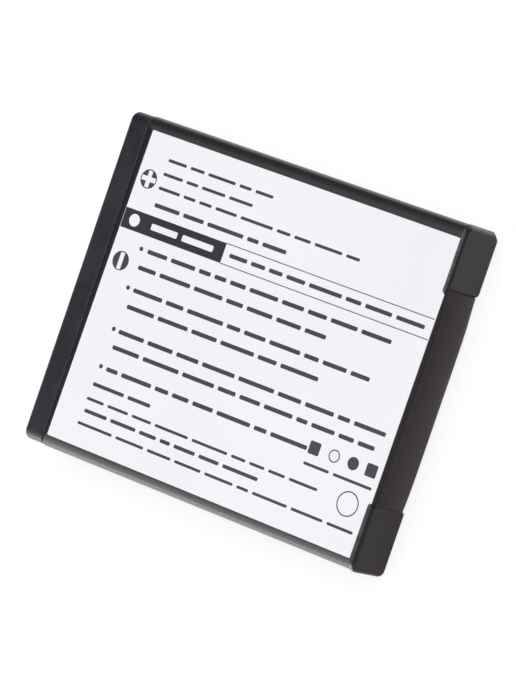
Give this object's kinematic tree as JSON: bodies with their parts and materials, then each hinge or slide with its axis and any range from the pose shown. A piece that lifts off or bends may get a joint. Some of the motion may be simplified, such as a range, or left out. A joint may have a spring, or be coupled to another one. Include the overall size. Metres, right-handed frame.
{
  "type": "camera battery",
  "caption": "Slim flat rechargeable camera battery: sealed cell in black film between moulded end caps, white label on the front, recessed contacts at one end.",
  "frame": {"origin": "centre of the box that holds the pack, at the level of its back", "axes": "+X from the contact end to the rear end, +Y up the label, +Z out of the label's face"},
  "size_m": [0.04, 0.0336, 0.0059],
  "materials": {
    "cap_plastic": "fine matte moulding texture",
    "rear_plastic": "fine matte moulding texture",
    "black_film": "semi-gloss film",
    "white_label": "white printed film",
    "can": "drawn aluminium",
    "tape": "double-sided tape",
    "gasket": "moulded",
    "nickel": "nickel plated",
    "insulating_paper": "plain",
    "fuse_case": "moulded",
    "board": "solder mask",
    "gold_contact": "gold plated",
    "chip_case": "moulded"
  },
  "bodies": {
    "root": {"terminal_cap": "cap_plastic", "rear_cap": "rear_plastic", "wrap_film": "black_film", "front_label": "white_label", "cell": "can", "rear_pad": "tape", "terminal_gasket": "gasket", "negative_rivet": "nickel", "weld_plate": "nickel", "header_insulator": "insulating_paper", "positive_tab": "nickel", "negative_tab": "nickel", "fuse_lead": "nickel", "thermal_fuse": "fuse_case", "circuit_board": "board", "contact_positive": "gold_contact", "contact_sense": "gold_contact", "contact_negative": "gold_contact", "switch_chip": "chip_case", "control_chip": "chip_case", "thermistor": "chip_case", "chip_resistors": "chip_case", "chip_capacitors": "chip_case"}
  },
  "joints": []
}
